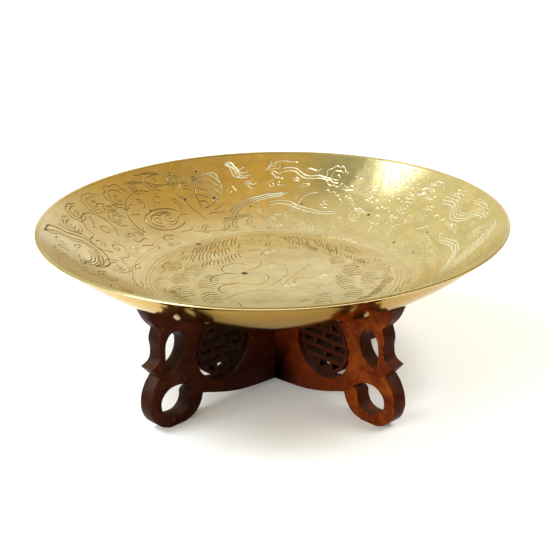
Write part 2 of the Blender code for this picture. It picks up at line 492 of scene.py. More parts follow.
def curled_oval():
    """A long oval, about 38 by 22, that holds curls and wisps."""
    return [
        arc(0, 0, 19, 11, 28, 338),
        arc(1, 0, 14.5, 7.8, 60, 250),
        spiral(-6, -0.5, 4.8, 1.5, 40, 1),
        spiral(5, 1.5, 4.0, 1.3, 220, -1),
        smooth([(-1, -4), (3, -6), (8, -5), (12, -1), (17, 1), (23, 0)]),
        smooth([(-12, 5), (-7, 6.4), (-2, 5), (1, 6.2), (6, 6), (10, 3)]),
        smooth([(0, 0), (2, -2), (5, -3), (9, -2)]),
    ]


def leaf(veins):
    """A broad leaf, about 30 long, with slanting veins."""
    upper = smooth([(-15, -4), (-9, 6), (0, 10), (9, 9), (15, 3)])
    lower = smooth([(-15, -4), (-6, -8), (3, -7.5), (10, -5), (15, 3)])
    lines = [upper, lower]
    for k in range(veins):
        share = (k + 1) / (veins + 1)
        a = upper[int(share * (len(upper) - 1))]
        b = lower[int(min(0.98, share + 0.05) * (len(lower) - 1))]
        lines.append(smooth([a, (a + b) / 2 + (1.8, 0.2), b]))
    return lines


def plume(length, gap):
    """A feather: a curved quill with a comb of barbs on both sides."""
    quill = smooth([(0, 0), (length * 0.35, 2.5), (length * 0.7, 2), (length, -3)])
    upper = comb(quill, length * 0.3, 38, -26, gap)
    lower = comb(quill, length * 0.24, -36, 22, gap * 1.15)
    return [quill, *upper, *lower]


def tongues(count, length, spread):
    """Flame-like strokes that leave one root."""
    flame = np.array([(0.12, 0), (0.4, 0.08), (0.7, -0.06), (1.0, 0.08)])
    lines = []
    for k in range(count):
        way = math.radians(spread * (k / (count - 1) - 0.5))
        reach = length * (0.7 + 0.3 * math.sin(math.pi * (k + 0.5) / count))
        lines.append(smooth(rotated(flame * reach, way)))
    return lines


def ripples(count, gap, width, rise=2.6, waves=2.5):
    """Stacked wavy lines, like contours round a hill."""
    lines = []
    for k in range(count):
        reach = width * (0.7 + 0.3 * math.sin(math.pi * (k + 0.5) / count))
        x = np.linspace(-0.5, 0.5, 30) * reach
        hill = 1.6 * rise * np.cos(math.pi * x / width)
        y = k * gap + hill + 0.45 * rise * np.abs(np.sin(math.pi * waves * x / width + 0.4 * k))
        lines.append(np.column_stack([x, y - count * gap / 2]))
    return lines


def bundle(path, count, gap, pinch=0.5):
    """Lines that run side by side along a path and draw together at its end."""
    path = resample(smooth(path), 1.5)
    _, side = along_and_across(path)
    ease = 1 - pinch * np.linspace(0, 1, len(path)) ** 2
    lines = []
    for k in range(count):
        shift = (k - (count - 1) / 2) * gap
        trim = 2 * abs(k - (count - 1) / 2)
        line = path + side * (shift * ease)[:, None]
        lines.append(line[int(trim): len(line) - int(1.5 * trim) or None])
    return lines


def ribbon(path, width):
    """A winding banded ribbon: two edges, an inner line and cross bands."""
    step = 1.2
    path = resample(smooth(path), step)
    count = len(path)
    share = np.linspace(0, 1, count)
    half = width / 2 * np.clip(np.minimum(share * 8, (1 - share) * 4), 0.15, 1)
    way, side = along_and_across(path)
    left = path + side * half[:, None]
    right = path - side * half[:, None]
    inner = path - side * (half * 0.2)[:, None]
    lines = [left, right, inner]
    for k in range(3, count - 5, 2):
        a, b = inner[k], right[k + 1]
        lines.append(np.stack([a, (a + b) / 2 + way[k] * 0.6, b]))
    return lines


def beads(path, size, gap):
    """A line of small bumps along a path."""
    step = 0.6
    path = resample(smooth(path), step)
    _, side = along_and_across(path)
    run = step * np.arange(len(path))
    return [path + side * (size * np.abs(np.sin(math.pi * run / gap)) ** 0.7)[:, None]]


def hatch(width, height, gap, slant):
    """A patch of fine slanting strokes."""
    lines = []
    for x in np.arange(-width / 2, width / 2, gap):
        half = height / 2 * (1 - 0.4 * abs(x) / (width / 2)) * (0.85 + 0.3 * rng.random())
        lines.append(np.array([(x - slant * half, -half), (x, 0), (x + slant * half, half)]))
    return lines


def engrave_rings():
    """The lines round the well, whole and broken."""
    for radius in (101.4, 104.6):
        cut([arc(0, 0, radius, radius, 3, 363)], 0.8, 0.7, 0.1, taper=False)
    for radius in (97.6, 109.4, 114.2, 117.5):
        start = 360 * rng.random()
        for k in range(3):
            end = start + 120 * k + 45 + 45 * rng.random()
            cut([arc(0, 0, radius, radius, start + 120 * k, end)], 0.45, 0.4, 0.15)


def engrave_left_wall():
    """Clouds round a large curled oval, and a banded ribbon near the rim."""
    for x, y, turn, size, lobes, hand in (
        (-155, 80, 60, 1.15, 8, 1), (-136, 104, 35, 1.35, 7, -1), (-167, 54, 80, 1.0, 7, 1),
        (-167, 33, 95, 1.0, 7, -1), (-134, 78, 20, 0.9, 6, 1), (-128, 4, 70, 1.2, 7, 1),
        (-108, 138, 40, 1.05, 7, 1), (-156, -36, 110, 1.15, 8, 1), (-132, -26, 80, 0.9, 6, -1),
        (-122, 124, 30, 0.7, 6, -1), (-143, -64, 130, 1.1, 8, -1), (-120, -50, 120, 0.9, 7, 1),
    ):
        cut(place(cloud(lobes, hand, size > 1.1), x, y, turn, size))
    cut([arc(-107, 101, 22, 25, 96, 264)], 1.15, 1.1)
    cut(place(curled_oval(), -95, 102, 38, 1.05))
    cut([arc(-147, 54, 15, 15, 0, 262)], 1.1)
    for curl in ((-142, 55, 6, 1.5, 30, 1), (-143, 31, 5.4, 1.4, 200, -1), (-131, 36, 5, 1.3, 90, 1)):
        cut([spiral(*curl)])
    cut_curve([(-137, 44), (-126, 42), (-121, 32), (-126, 20), (-117, 10), (-115, -4)])
    cut_curve([(-150, 38), (-152, 28), (-146, 22), (-138, 24), (-132, 28)])
    cut([spiral(-122, 64, 4.6, 1.2, 0, 1)], 0.9)
    banner = [(-184, -10), (-177, 6), (-166, 12), (-158, 19)]
    banner += [(-147, 18), (-139, 8), (-138, -6), (-143, -18)]
    cut(ribbon(banner, 8.5), 1.3, 1.3)
    cut(bundle([(-152, 12), (-145, 0), (-146, -13), (-153, -25)], 3, 3.0), 1.2, 1.2)
    cut_curve([(-178, 20), (-168, 22), (-160, 28), (-150, 27)], 1.1)
    cut(beads([(-117, -6), (-112, -22), (-101, -36)], 2.4, 6.5))
    cut(beads([(-109, -12), (-105, -24)], 1.8, 5))
    cut(place(hatch(14, 16, 2.3, 0.1), -131, 63), 0.7, 0.7)
    cut(place(hatch(12, 12, 2.3, -0.2), -116, 46, 30), 0.7, 0.7)
    cut(place(tongues(4, 15, 80), -110, -40, 215))
    cut(place(tongues(4, 14, 80), -110, 72, 150))


def engrave_back_wall():
    """A striped leaf, sweeping bands and tendrils above a row of small curls."""
    cut_curve([(-134, 119), (-122, 129), (-108, 135), (-91, 142)], 1.1)
    cut_curve([(-128, 134), (-114, 143), (-102, 147)], 0.9)
    cut(place(blossom(6), -92, 147, 20, 0.62))
    cut(place(tongues(5, 17, 80), -84, 140, 62))
    cut(place(tongues(4, 13, 60), -76, 152, 20))
    cut_curve([(-88, 136), (-78, 130), (-68, 122), (-58, 116)], 1.1)
    cut(place(leaf(7), -58, 147, 62, 1.25), 1.35, 1.25)
    cut(place(tongues(5, 30, 26), -48, 176, -20), 1.15, 1.1)
    cut(place(tongues(3, 16, 40), -28, 158, 12))
    cut(bundle([(-38, 124), (-28, 138), (-10, 147), (16, 151)], 3, 2.6, 0.7), 1.4, 1.3)
    cut(bundle([(-46, 118), (-30, 124), (-18, 128)], 2, 2.4))
    cut(place(tongues(5, 16, 90), -4, 170, 25), 1.1)
    cut_curve([(-8, 171), (1, 178), (12, 180), (25, 177)])
    cut(bundle([(8, 172), (20, 172), (32, 164), (46, 161), (58, 154)], 2, 3.0, 0.6), 1.2, 1.1)
    cut(place(curl_pair(-1), 4, 160, 10, 0.8))
    cut(bundle([(-6, 140), (10, 142), (26, 134), (42, 126), (58, 121)], 2, 3.4, 0.4), 1.1)
    cut_curve([(0, 128), (16, 132), (30, 146), (44, 148)], 1.1)
    cut(place(tongues(4, 13, 80), 26, 138, -150))
    cut(place(tongues(3, 11, 60), 14, 120, 80))
    for x, y, size, hand in (
        (-58, 104, 1.0, 1), (-44, 111, 1.1, -1), (-31, 115, 1.15, 1), (-17, 118, 1.3, 1),
        (-4, 114, 1.0, -1), (9, 115, 1.1, 1), (24, 112, 1.0, -1), (37, 109, 1.1, 1), (50, 104, 1.0, -1),
    ):
        cut(place(hook(hand), x, y, 0, size), 0.95)
    cut(beads([(-70, 96), (-48, 102), (-30, 105)], 1.8, 4.6), 0.8)
    cut(beads([(6, 108), (28, 106), (46, 98)], 1.8, 4.6), 0.8)


def engrave_right_wall():
    """Clouds at the back right, then ripples, a double bow and streaks towards the front."""
    for x, y, turn, size, lobes, hand in (
        (60, 158, -25, 1.1, 8, 1), (92, 128, -35, 0.9, 7, -1), (128, 127, -45, 1.4, 9, 1),
        (118, 100, -50, 0.9, 7, 1), (143, 98, -55, 0.95, 8, -1), (76, 112, -30, 0.8, 6, 1),
        (134, 78, -60, 0.85, 7, 1), (160, 72, -65, 0.85, 7, 1), (112, -32, -110, 1.1, 8, 1),
        (120, -60, -120, 1.0, 7, -1), (140, -70, -120, 1.0, 8, 1), (105, 78, -40, 0.75, 6, -1),
    ):
        cut(place(cloud(lobes, hand, size > 1.0), x, y, turn, size))
    for path, size, gap in (
        ([(48, 147), (58, 140), (61, 130), (54, 122), (60, 112), (58, 104)], 2.2, 6.0),
        ([(74, 152), (82, 144), (78, 134), (72, 126), (76, 116), (86, 108)], 2.2, 6.5),
        ([(96, 152), (101, 142), (96, 133)], 1.8, 5.5), ([(104, 138), (108, 126), (118, 120)], 1.8, 5.5),
        ([(66, 137), (72, 128), (68, 119)], 1.5, 4.5), ([(90, 112), (100, 108), (104, 98)], 1.8, 5.0),
        ([(120, 112), (126, 104), (136, 102)], 2.0, 5.0),
    ):
        cut(beads(path, size, gap))
    cut_curve([(104, 154), (110, 146), (108, 136)], 0.9)
    cut_curve([(84, 160), (90, 150), (88, 140), (94, 134)], 0.9)
    cut(place(leaf(6), 92, 98, -50, 0.5), 0.8)
    cut(bundle([(148, 86), (158, 68), (155, 54), (162, 42), (174, 32), (177, 14)], 4, 2.7, 0.3), 1.1, 1.1)
    cut(bundle([(170, 56), (176, 44), (180, 28)], 3, 2.4, 0.4))
    cut(place(plume(26, 2.5), 146, 52, -78))
    cut(place(tongues(5, 18, 70), 164, 14, -70), 1.05)
    cut(bundle([(139, 32), (148, 14), (148, -6), (138, -26), (130, -38)], 3, 2.6, 0.8), 1.5, 1.4)
    for k in range(11):
        x, y = 134 + 3.9 * k, -36 + 2.2 * k
        cut_curve([(x - 4, y - 12), (x + 3, y + 2), (x + 9, y + 16)], 1.35, 1.2)
    cut(beads([(127, 52), (131, 38), (127, 26), (132, 12), (128, -2)], 2.4, 5.4))
    cut(beads([(122, 44), (124, 30), (121, 16)], 1.6, 4.4), 0.8)
    cut(place(ripples(4, 4.6, 16), 126, -48, -20), 0.95)
    for x, y, size, hand in (
        (96, 66, 1.0, 1), (106, 50, 1.1, -1), (112, 34, 1.0, 1), (116, 16, 1.15, -1),
        (116, -4, 1.0, 1), (112, 62, 0.9, 1), (118, 84, 0.9, -1),
    ):
        cut(place(hook(hand), x, y, -60, size), 0.95)


def engrave_front_wall():
    """The same kinds of motif, carried on round the near side."""
    for k, angle in enumerate(np.arange(214, 327, 11.5)):
        outer, inner = (168, 134) if k % 2 else (150, 124)
        cut(place_round(cloud(7 + k % 2, 1 if k % 3 else -1, k % 2 == 0), outer, angle, -90, 1.05))
        cut(place_round(curl_pair(1 if k % 2 else -1), inner, angle, -90, 0.8))
        if k % 3 == 0:
            cut(place_round(leaf(7), 172, angle, -60, 0.7), 1.1)
        elif k % 3 == 1:
            cut(place_round(plume(24, 2.4), 140, angle, -20))
        else:
            cut(place_round(tongues(5, 18, 80), 160, angle, 60))
    for k, angle in enumerate(np.arange(222, 322, 9)):
        cut(place_round(hook(1 if k % 2 else -1), 117, angle), 0.9)
    arm = np.radians(np.linspace(232, 308, 9))
    wave = 150 + 9 * np.sin(np.linspace(0, 11, 9))
    cut(ribbon(np.column_stack([wave * np.cos(arm), wave * np.sin(arm)]), 9), 1.1)


def engrave_medallion():
    """Fans of long strokes and stacked contours round the middle of the well."""
    # Fans: roots, stroke length, first and last direction, bend and gap.
    fans = (
        ([(-66, 70), (-56, 78), (-44, 86), (-32, 92)], 25, -112, -104, 22, 3.6),
        ([(-74, 50), (-62, 54), (-50, 60), (-38, 68)], 22, -116, -98, 24, 3.5),
        ([(-58, 32), (-48, 38), (-38, 46), (-30, 52)], 17, -112, -88, 30, 3.5),
        ([(-92, 34), (-91, 24), (-88, 14)], 19, 6, -10, -14, 2.8),
        ([(6, 96), (18, 94), (30, 89)], 27, -60, -76, -24, 3.7),
        ([(34, 88), (42, 82), (50, 74), (56, 64)], 28, -88, -100, 16, 3.6),
        ([(20, 78), (30, 72), (38, 62)], 17, -58, -78, -28, 3.6),
        ([(60, 74), (68, 66), (76, 56)], 18, -108, -118, 18, 3.2),
        ([(58, 48), (66, 42), (74, 34), (80, 26)], 11, -96, -110, 24, 3.3),
        ([(96, -14), (92, -30), (84, -46), (72, -60)], 14, -160, -186, 28, 3.4),
        ([(62, -70), (50, -79), (38, -86)], 12, 96, 84, -26, 3.5),
        ([(26, -88), (10, -92), (-8, -93), (-24, -90)], 11, 102, 78, 22, 3.7),
        ([(-36, -86), (-50, -79), (-62, -70)], 12, 92, 76, 24, 3.5),
        ([(-72, -62), (-84, -46), (-92, -28)], 14, 40, 10, -24, 3.4),
        ([(-6, 88), (-16, 84), (-24, 76)], 12, -80, -70, 26, 3.6),
    )
    for path, length, first, last, bend, gap in fans:
        cut(fan(path, length, first, last, bend, gap), 1.2, 1.1)
    # Stacked contours: place, turn, count and width.
    for x, y, turn, count, width in (
        (-66, 10, -14, 6, 20), (-52, -16, -6, 7, 18), (-76, -8, 14, 5, 16), (-72, -36, 24, 6, 19),
        (-48, -50, 20, 6, 18), (66, 4, 10, 6, 18), (58, -22, 12, 7, 16), (78, -14, -8, 6, 15),
        (64, -46, -16, 5, 18), (40, -60, -14, 4, 18), (54, 28, 8, 4, 15), (72, 22, -14, 4, 14),
    ):
        cut(place(ripples(count, 4.4, width), x, y, turn), 1.25, 1.45)
    for x, y, turn, size, hand in (
        (-86, 24, 80, 1.0, 1), (-89, -8, 95, 0.95, -1), (-80, -30, 120, 1.0, 1), (89, 10, -80, 1.05, -1),
        (89, -16, -95, 1.0, 1), (78, -38, -120, 1.0, 1), (-2, 91, 0, 0.8, 1),
    ):
        cut(place(hook(hand), x, y, turn, size), 0.9)
        cut(place([scallops(0, 0, 9, 5, 10, 200, depth=0.2, squash=0.85)], x, y, turn, size), 0.9)
    cut(place(leaf(3), 84, 30, -30, 0.5), 0.8)
    cut([arc(74, -2, 18, 40, -70, 80)], 0.6, 0.6)
    cut_curve([(-96, 4), (-90, 14), (-93, 26), (-86, 36)], 0.8)


def engrave_centre():
    """The calm centre: three wide lobes, long curves, faint nested ovals and a leaf."""
    for lobe in ((-30, 14, 13, 12, 40, 250), (-36, -8, 15, 12, 60, 300), (-30, -30, 14, 12, 70, 250)):
        cut([arc(*lobe)], 1.15, 1.3)
    cut_curve([(-24, 10), (-14, 16), (-10, 28), (-18, 38), (-30, 40)], 0.9)
    cut_curve([(-24, 4), (-12, 4), (-4, -4), (-6, -16), (-16, -22), (-26, -18)], 0.9)
    cut_curve([(-14, 14), (-2, 26), (12, 34), (26, 32), (30, 20), (22, 8)], 0.6, 0.6)
    cut_curve([(6, -30), (12, -14), (20, 2), (30, 18), (44, 26)], 0.55, 0.55)
    cut_curve([(-2, -26), (8, -8), (12, 10), (6, 24)], 0.55, 0.55)
    for reach in (9, 14, 19):
        cut([arc(27, -16, reach * 1.15, reach * 0.85, 60 - 2 * reach, 300 + 2 * reach)], 0.8, 0.7)
    cut(place(leaf(5), -2, 52, 30, 0.7), 0.85, 0.8)
    cut_curve([(-40, -52), (-26, -40), (-12, -34), (4, -38)], 0.9)
    cut(place(ripples(3, 5, 36, 2.2, 5), -4, -56), 0.8, 0.85)
    cut(place(hatch(34, 10, 2.6, 0.6), 0, -72), 0.75, 0.8)
    cut(place(ripples(2, 5, 30, 2.0, 4), 22, -74, 8), 0.8, 0.85)


# The map of taken places: how far it reaches to every side of the dish's axis, and how far from
# a cut a place still counts as taken.
MAP_REACH = 200
CUT_CLEARANCE = 2

# How far a small motif may stand out of the ring it fills.
RING_MARGIN = 3


class Taken:
    """A map, in 1 mm squares, of the places near a line that is already cut."""

    def __init__(self):
        self.squares = np.zeros((2 * MAP_REACH, 2 * MAP_REACH), bool)
        side = np.arange(-CUT_CLEARANCE, CUT_CLEARANCE + 1)
        x, y = np.meshgrid(side, side)
        inside = np.hypot(x, y) <= CUT_CLEARANCE
        self.disc = np.column_stack([x[inside], y[inside]])
        for points, *_ in cuts:
            self.mark(points)

    def spots(self, points):
        """Row and column of the squares that points fall in."""
        return tuple(np.clip(np.round(points).astype(int) + MAP_REACH, 0, 2 * MAP_REACH - 1).T)

    def mark(self, points):
        around = np.round(points)[:, None] + self.disc
        self.squares[self.spots(around.reshape(-1, 2))] = True

    def clear(self, lines):
        return not self.squares[self.spots(np.vstack(lines))].any()


def small_motif(kind, hand):
    """One of the small curls and strokes that fill the ground between the larger motifs."""
    if kind == 0:
        tail = smooth([(4.4, 0), (7, -2.5 * hand), (11, -1.5 * hand)])
        return [spiral(0, 0, 4.4, 1.3, 0, hand), tail]
    if kind == 1:
        return hook(hand)
    if kind == 2:
        return [smooth([(-8, 0), (-4, 2.2 * hand), (1, -0.5), (5, -2 * hand), (9, 0.5)])]
    if kind == 3:
        return tongues(3, 11, 60)
    if kind == 4:
        return [scallops(0, 0, 6.5, 5, 10, 250), spiral(0, 0, 2.6, 1.1, 0, hand)]
    return bundle([(-7, -2), (-2, 1.5), (3, 1), (8, -2)], 2, 3.0)


def engrave_ground(tries, low, high, kinds):
    """Fill the free places between two radii with small motifs."""
    taken = Taken()
    for _ in range(tries):
        radius = math.sqrt(low**2 + (high**2 - low**2) * rng.random())
        angle = 360 * rng.random()
        motif = small_motif(rng.choice(kinds), rng.choice((-1, 1)))
        turn = -90 + 70 * (rng.random() - 0.5)
        lines = place_round(motif, radius, angle, turn, 0.75 + 0.4 * rng.random())
        reaches = np.hypot(*np.vstack(lines).T)
        within = reaches.min() >= low - RING_MARGIN and reaches.max() <= high + RING_MARGIN
        if within and taken.clear(lines):
            cut(lines, 0.95, 1.1)
            for line in lines:
                taken.mark(resample(line, 1.5))


# ---- The dish's mesh ----

# The plain surface between the cuts: how far apart its points are, and how far from a cut.
GROUND_STEP = 3.9
GROUND_CLEARANCE = 1.1

# A point is looked for in the nearest cut within this reach. Past this far along a cut's direction
# it lies beyond the cut's end. The outermost part of a cut stays level with the surface.
CUT_REACH = 1.4
CUT_END_REACH = 0.35
CUT_EDGE_SHARE = 0.98

# A cut with less than this to each side of its middle is a single line. The dish's edge is uncut.
THINNEST_CUT = 0.05
UNCUT_EDGE = 0.05

# Rings of plain points: in the well, closer together where the wall starts, and up the wall.
WELL_RING_STEP = 4.2
CORNER_RINGS = (99, 100.4, 101.4, 102.2, 104.8, 107.6, 108.8, 110.8, 114.2)
WALL_RING_START = 118
WALL_RING_STEP = 3.6
LAST_RING_MARGIN = 1.2

# Rings of points over the rim, between two angles of its section. The first ones count as inside.
RIM_RINGS = 12
RIM_RINGS_INSIDE = 10
RIM_START = 162
RIM_END = -40

# Rings of points under the wall, the first of which is tucked in under the rim, and under the well.
UNDERSIDE_RINGS = 34
TUCK_UNDER_RIM = 1.6
WELL_RINGS_BELOW = (94, 60, 25)


def plan_of_cuts():
    """Flat points and edges of the rim and of the cuts, and stations twice as fine along the cuts.

    A station is a row of x, y, the cut's direction along x and y, its half width and its depth.
    """
    plan = []
    for k in range(DISH_SIDES):
        angle = TAU * k / DISH_SIDES
        plan.append((INNER_EDGE_RADIUS * math.cos(angle), INNER_EDGE_RADIUS * math.sin(angle)))
    edges = [(k, (k + 1) % DISH_SIDES) for k in range(DISH_SIDES)]
    stations = []
    for points, width, depth, taper in cuts:
        run = CUT_STEP * np.arange(len(points))
        half = np.full(len(points), width / 2)
        if taper:
            half *= np.sqrt(np.clip(np.minimum(run, run[-1] - run) / CUT_TAPER, 0, 1))
        way, side = along_and_across(points)
        rows = []
        for point, reach in zip(points, side * half[:, None]):
            if math.hypot(*reach) < THINNEST_CUT:
                plan.append(tuple(point))
                rows.append((len(plan) - 1,) * 3)
                continue
            plan.extend((tuple(point + reach), tuple(point), tuple(point - reach)))
            rows.append((len(plan) - 3, len(plan) - 2, len(plan) - 1))
        for first, second in zip(rows, rows[1:]):
            edges.extend(set(zip(first, second)))
        along = np.column_stack([points, way, half, depth * half / (width / 2)])
        fine = np.linspace(0, run[-1], 2 * len(points) - 1)
        stations.append(interpolated(fine, run, along))
    stations = np.vstack(stations)
    stations[:, 2:4] /= np.maximum(np.linalg.norm(stations[:, 2:4], axis=1, keepdims=True), 1e-9)
    return plan, edges, stations


def plan_of_ground(tree):
    """Ring by ring, the points of the uncut surface that keep clear of the cuts."""
    last = INNER_EDGE_RADIUS - LAST_RING_MARGIN
    well = np.arange(WELL_RING_STEP, CORNER_RINGS[0] - 1, WELL_RING_STEP)
    wall = np.arange(WALL_RING_START, last - LAST_RING_MARGIN, WALL_RING_STEP)
    found = [(0.0, 0.0)]
    for radius in (*well, *CORNER_RINGS, *wall, last):
        count = max(6, int(TAU * radius / GROUND_STEP))
        turn = 0.5 * (len(found) % 2)
        for k in range(count):
            angle = TAU * (k + turn) / count
            x, y = radius * math.cos(angle), radius * math.sin(angle)
            if tree.find((x, y, 0))[2] > GROUND_CLEARANCE:
                found.append((x, y))
    return found


def cut_depths(points, tree, stations):
    """How deep each flat point lies in the nearest cut."""
    depths = np.zeros(len(points))
    for k, (x, y) in enumerate(points):
        _, nearest, distance = tree.find((x, y, 0))
        if distance > CUT_REACH:
            continue
        at_x, at_y, way_x, way_y, half, depth = stations[nearest]
        along = (x - at_x) * way_x + (y - at_y) * way_y
        across = abs((x - at_x) * way_y - (y - at_y) * way_x)
        if abs(along) > CUT_END_REACH:
            across = distance
        if across < CUT_EDGE_SHARE * half:
            depths[k] = depth * (1 - across / half)
    depths[np.hypot(*points.T) > INNER_EDGE_RADIUS - UNCUT_EDGE] = 0
    return depths


def rim_and_underside():
    """Radius and height of rings of points from the inner edge, over the rim, to the middle below."""
    profile = []
    for angle in np.radians(np.linspace(RIM_START, RIM_END, RIM_RINGS)):
        profile.append((RIM_CENTRE_R + RIM_HALF_WIDTH * math.cos(angle),
                        RIM_CENTRE_Z + RIM_HALF_HEIGHT * math.sin(angle)))
    reach = WALL_REACH - TUCK_UNDER_RIM
    for radius in WELL_RADIUS + reach * np.linspace(1, 0, UNDERSIDE_RINGS) ** 1.3:
        profile.append((radius, outer_height(radius)))
    return [*profile, *((radius, 0.0) for radius in WELL_RINGS_BELOW)]


def after(ring):
    """For each point of a ring, the one that follows it."""
    return ring[1:] + ring[:1]


def close_underneath(flat, top, faces):
    """Add the rim and the underside to the inside's faces, and give all vertices back."""
    x, y = flat.T
    previous = np.where(np.hypot(x, y) > INNER_EDGE_RADIUS - 1e-3)[0]
    previous = previous[np.argsort(np.arctan2(y[previous], x[previous]) % TAU)].tolist()
    turn = np.arctan2(y[previous], x[previous])
    vertices = [top]
    total = len(top)
    for radius, level in rim_and_underside():
        ring = [radius * np.cos(turn), radius * np.sin(turn), np.full(DISH_SIDES, level)]
        vertices.append(np.column_stack(ring))
        current = list(range(total, total + DISH_SIDES))
        total += DISH_SIDES
        faces.extend(zip(after(previous), previous, current, after(current)))
        previous = current
    faces.extend(zip(after(previous), previous, [total] * DISH_SIDES))
    return np.vstack([*vertices, (0.0, 0.0, 0.0)])


def vectors(items):
    """Rows of the vectors that some of a mesh's items hold."""
    values = np.zeros(3 * len(items), np.float32)
    items.foreach_get("vector", values)
    return values.reshape(-1, 3)


def shade(mesh, triangles, normals, sunk):
    """Smooth shading, but flat facets in the cuts and the exact normals of the surface between them."""
    mesh.shade_smooth()
    corner = vectors(mesh.corner_normals)
    facet = vectors(mesh.polygon_normals)[: len(triangles)]
    in_cut = (sunk[triangles] > 1e-4).any(axis=1)
    inside = normals[triangles]
    inside[in_cut] = facet[in_cut][:, None]
    corner[: triangles.size] = inside.reshape(-1, 3)
    mesh.normals_split_custom_set(corner)


def dish_mesh():
    """One closed mesh: engraved inside, rolled rim, plain underside."""
    plan, edges, stations = plan_of_cuts()
    tree = KDTree(len(stations))
    for k, (x, y, *_) in enumerate(stations):
        tree.insert((x, y, 0), k)
    tree.balance()
    plan.extend(plan_of_ground(tree))
    made = delaunay_2d_cdt([Vector(point) for point in plan], edges, [], 0, 1e-4, False)
    flat = np.array([tuple(point) for point in made[0]])
    triangles = np.array(made[2], int)

    sunk = cut_depths(flat, tree, stations)
    height, normals = inner_surface(flat[:, 0], flat[:, 1])
    top = np.column_stack([flat, height]) - normals * sunk[:, None]
    faces = triangles.tolist()
    vertices = close_underneath(flat, top, faces) * MM + (0, 0, DISH_BOTTOM)

    mesh = bpy.data.meshes.new("engraved_brass_dish")
    mesh.from_pydata(vertices.tolist(), [], faces)
    groove = np.zeros(len(vertices), np.float32)
    groove[: len(sunk)] = sunk / CUT_DEPTH
    outside = np.zeros(len(vertices), np.float32)
    outside[len(sunk) + RIM_RINGS_INSIDE * DISH_SIDES:] = 1
    for name, values in (("groove", groove), ("outside", outside)):
        mesh.attributes.new(name, "FLOAT", "POINT").data.foreach_set("value", values)
    shade(mesh, triangles, normals, sunk)
    return mesh


def add_object(name, data):
    """A new object in the scene."""
    made = bpy.data.objects.new(name, data)
    bpy.context.scene.collection.objects.link(made)
    return made


def make_dish():
    """The engraved dish, turned so that its pattern faces the camera's corner."""
    engrave_rings()
    engrave_left_wall()
    engrave_back_wall()
    engrave_right_wall()
    engrave_front_wall()
    engrave_medallion()
    engrave_centre()
    engrave_ground(tries=3600, low=112, high=176, kinds=(0, 1, 2, 3, 4, 5))
    engrave_ground(tries=900, low=58, high=96, kinds=(1, 2, 5))
    for k, (points, *force) in enumerate(cuts):
        cuts[k] = (rotated(points, VIEW_AZIMUTH), *force)
    dish = add_object("engraved_dish", dish_mesh())
    dish.data.materials.append(brass_material())
    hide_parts("brass_dish")
    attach(dish, "dish")


# The brass bare, then tarnished in clouds, patches, mottles and streaks, and polished bright. Painted
# shade darkens the near, left side of the bowl and the underside.
BARE = (0.90, 0.77, 0.45)
CLOUDED = (0.74, 0.59, 0.29)
PATCHED = (0.83, 0.735, 0.45)
MOTTLED = (0.69, 0.60, 0.36)
STREAKED = (0.66, 0.50, 0.25)
BRIGHT = (0.97, 0.85, 0.50)
# Painted shade for the near, left side of the bowl.
NEAR_SIDE_PAINTED_SHADE = (0.76, 0.77, 0.71)
# Painted shade: the underside's darker colour and yellower edge tint stand in for the shaded floor it
# mirrors.
UNDERSIDE_PAINTED_SHADE = (0.56, 0.37, 0.11)
UNDERSIDE_EDGE_PAINTED_SHADE = (0.93, 0.77, 0.50)
SPOT = (0.09, 0.05, 0.03)
DARK_RESIDUE = (0.19, 0.14, 0.06)
# Pale cuts: dried polish, and painted reflection of the bright surround that the cuts' walls catch.
PALE_RESIDUE_AND_REFLECTION = (0.60, 0.62, 0.50)


def tarnish(n, cloudy):
    """The brass's colour: cloudy, streaked and mottled, with painted shade at the near side and outside.
    """
    colour = n.mix(n.rise(cloudy, 0.35, 0.65), BARE, CLOUDED)
    broad = n.noise(6, 3, 0.5)
    colour = n.mix(n.rise(broad, 0.42, 0.72, 0.8), colour, PATCHED)
    mottled = n.noise(58, 4, 0.6, distortion=1.2)
    colour = n.mix(n.rise(mottled, 0.5, 0.66, 0.55), colour, MOTTLED)
    colour = n.mix(n.ramp(mottled, [(0.34, 0.5), (0.46, 0.0)]), colour, BRIGHT)
    streaks = n.noise(1.0, 5, 0.65, n.arcs(2.2, 110), 0.5)
    colour = n.mix(n.rise(streaks, 0.5, 0.72, 0.6), colour, STREAKED)
    _, right, back = n.pattern_axes()
    leftward = n.math("MAXIMUM", n.times(right, -1.6), 0.0)
    # Painted shade: the bowl's near, left part is darkened.
    painted_shade_near_side = n.rise(n.minus(leftward, n.times(back, 10)), 0.27, 0.60)
    colour = n.mix(painted_shade_near_side, colour, n.mix(1.0, colour, NEAR_SIDE_PAINTED_SHADE, "MULTIPLY"))
    # Painted shade: the underside is darker and browner.
    return n.mix(n.attribute("outside"), colour, UNDERSIDE_PAINTED_SHADE)


def brown_spots(n):
    """Small specks all over, and the larger blemishes at their places."""
    spot = n.specks(47, (0.80, 0.82), (0.06, 0.16))
    for x, y, radius in BLEMISHES:
        level = inner_surface(np.array([x], float), np.array([y], float))[0][0]
        centre = (*rotated((x, y), VIEW_AZIMUTH), DISH_BOTTOM / MM + level)
        spot = n.math("MAXIMUM", spot, n.near(centre, radius))
    return spot


def pale_residue_and_painted_reflection(n):
    """Pale cuts, dried polish with painted reflection: towards the back and right, less in the well."""
    _, right, back = n.pattern_axes()
    in_well = n.ramp(n.round_axis()[1], [(0.101, 1.0), (0.104, 0.0)])
    reach = n.minus(n.plus(back, n.times(right, 1.1)), n.times(in_well, 0.035))
    patchy = n.times(n.noise(22, 3, 0.6), 0.08)
    return n.rise(n.times(n.plus(reach, patchy), 5), 0.55, 0.85)


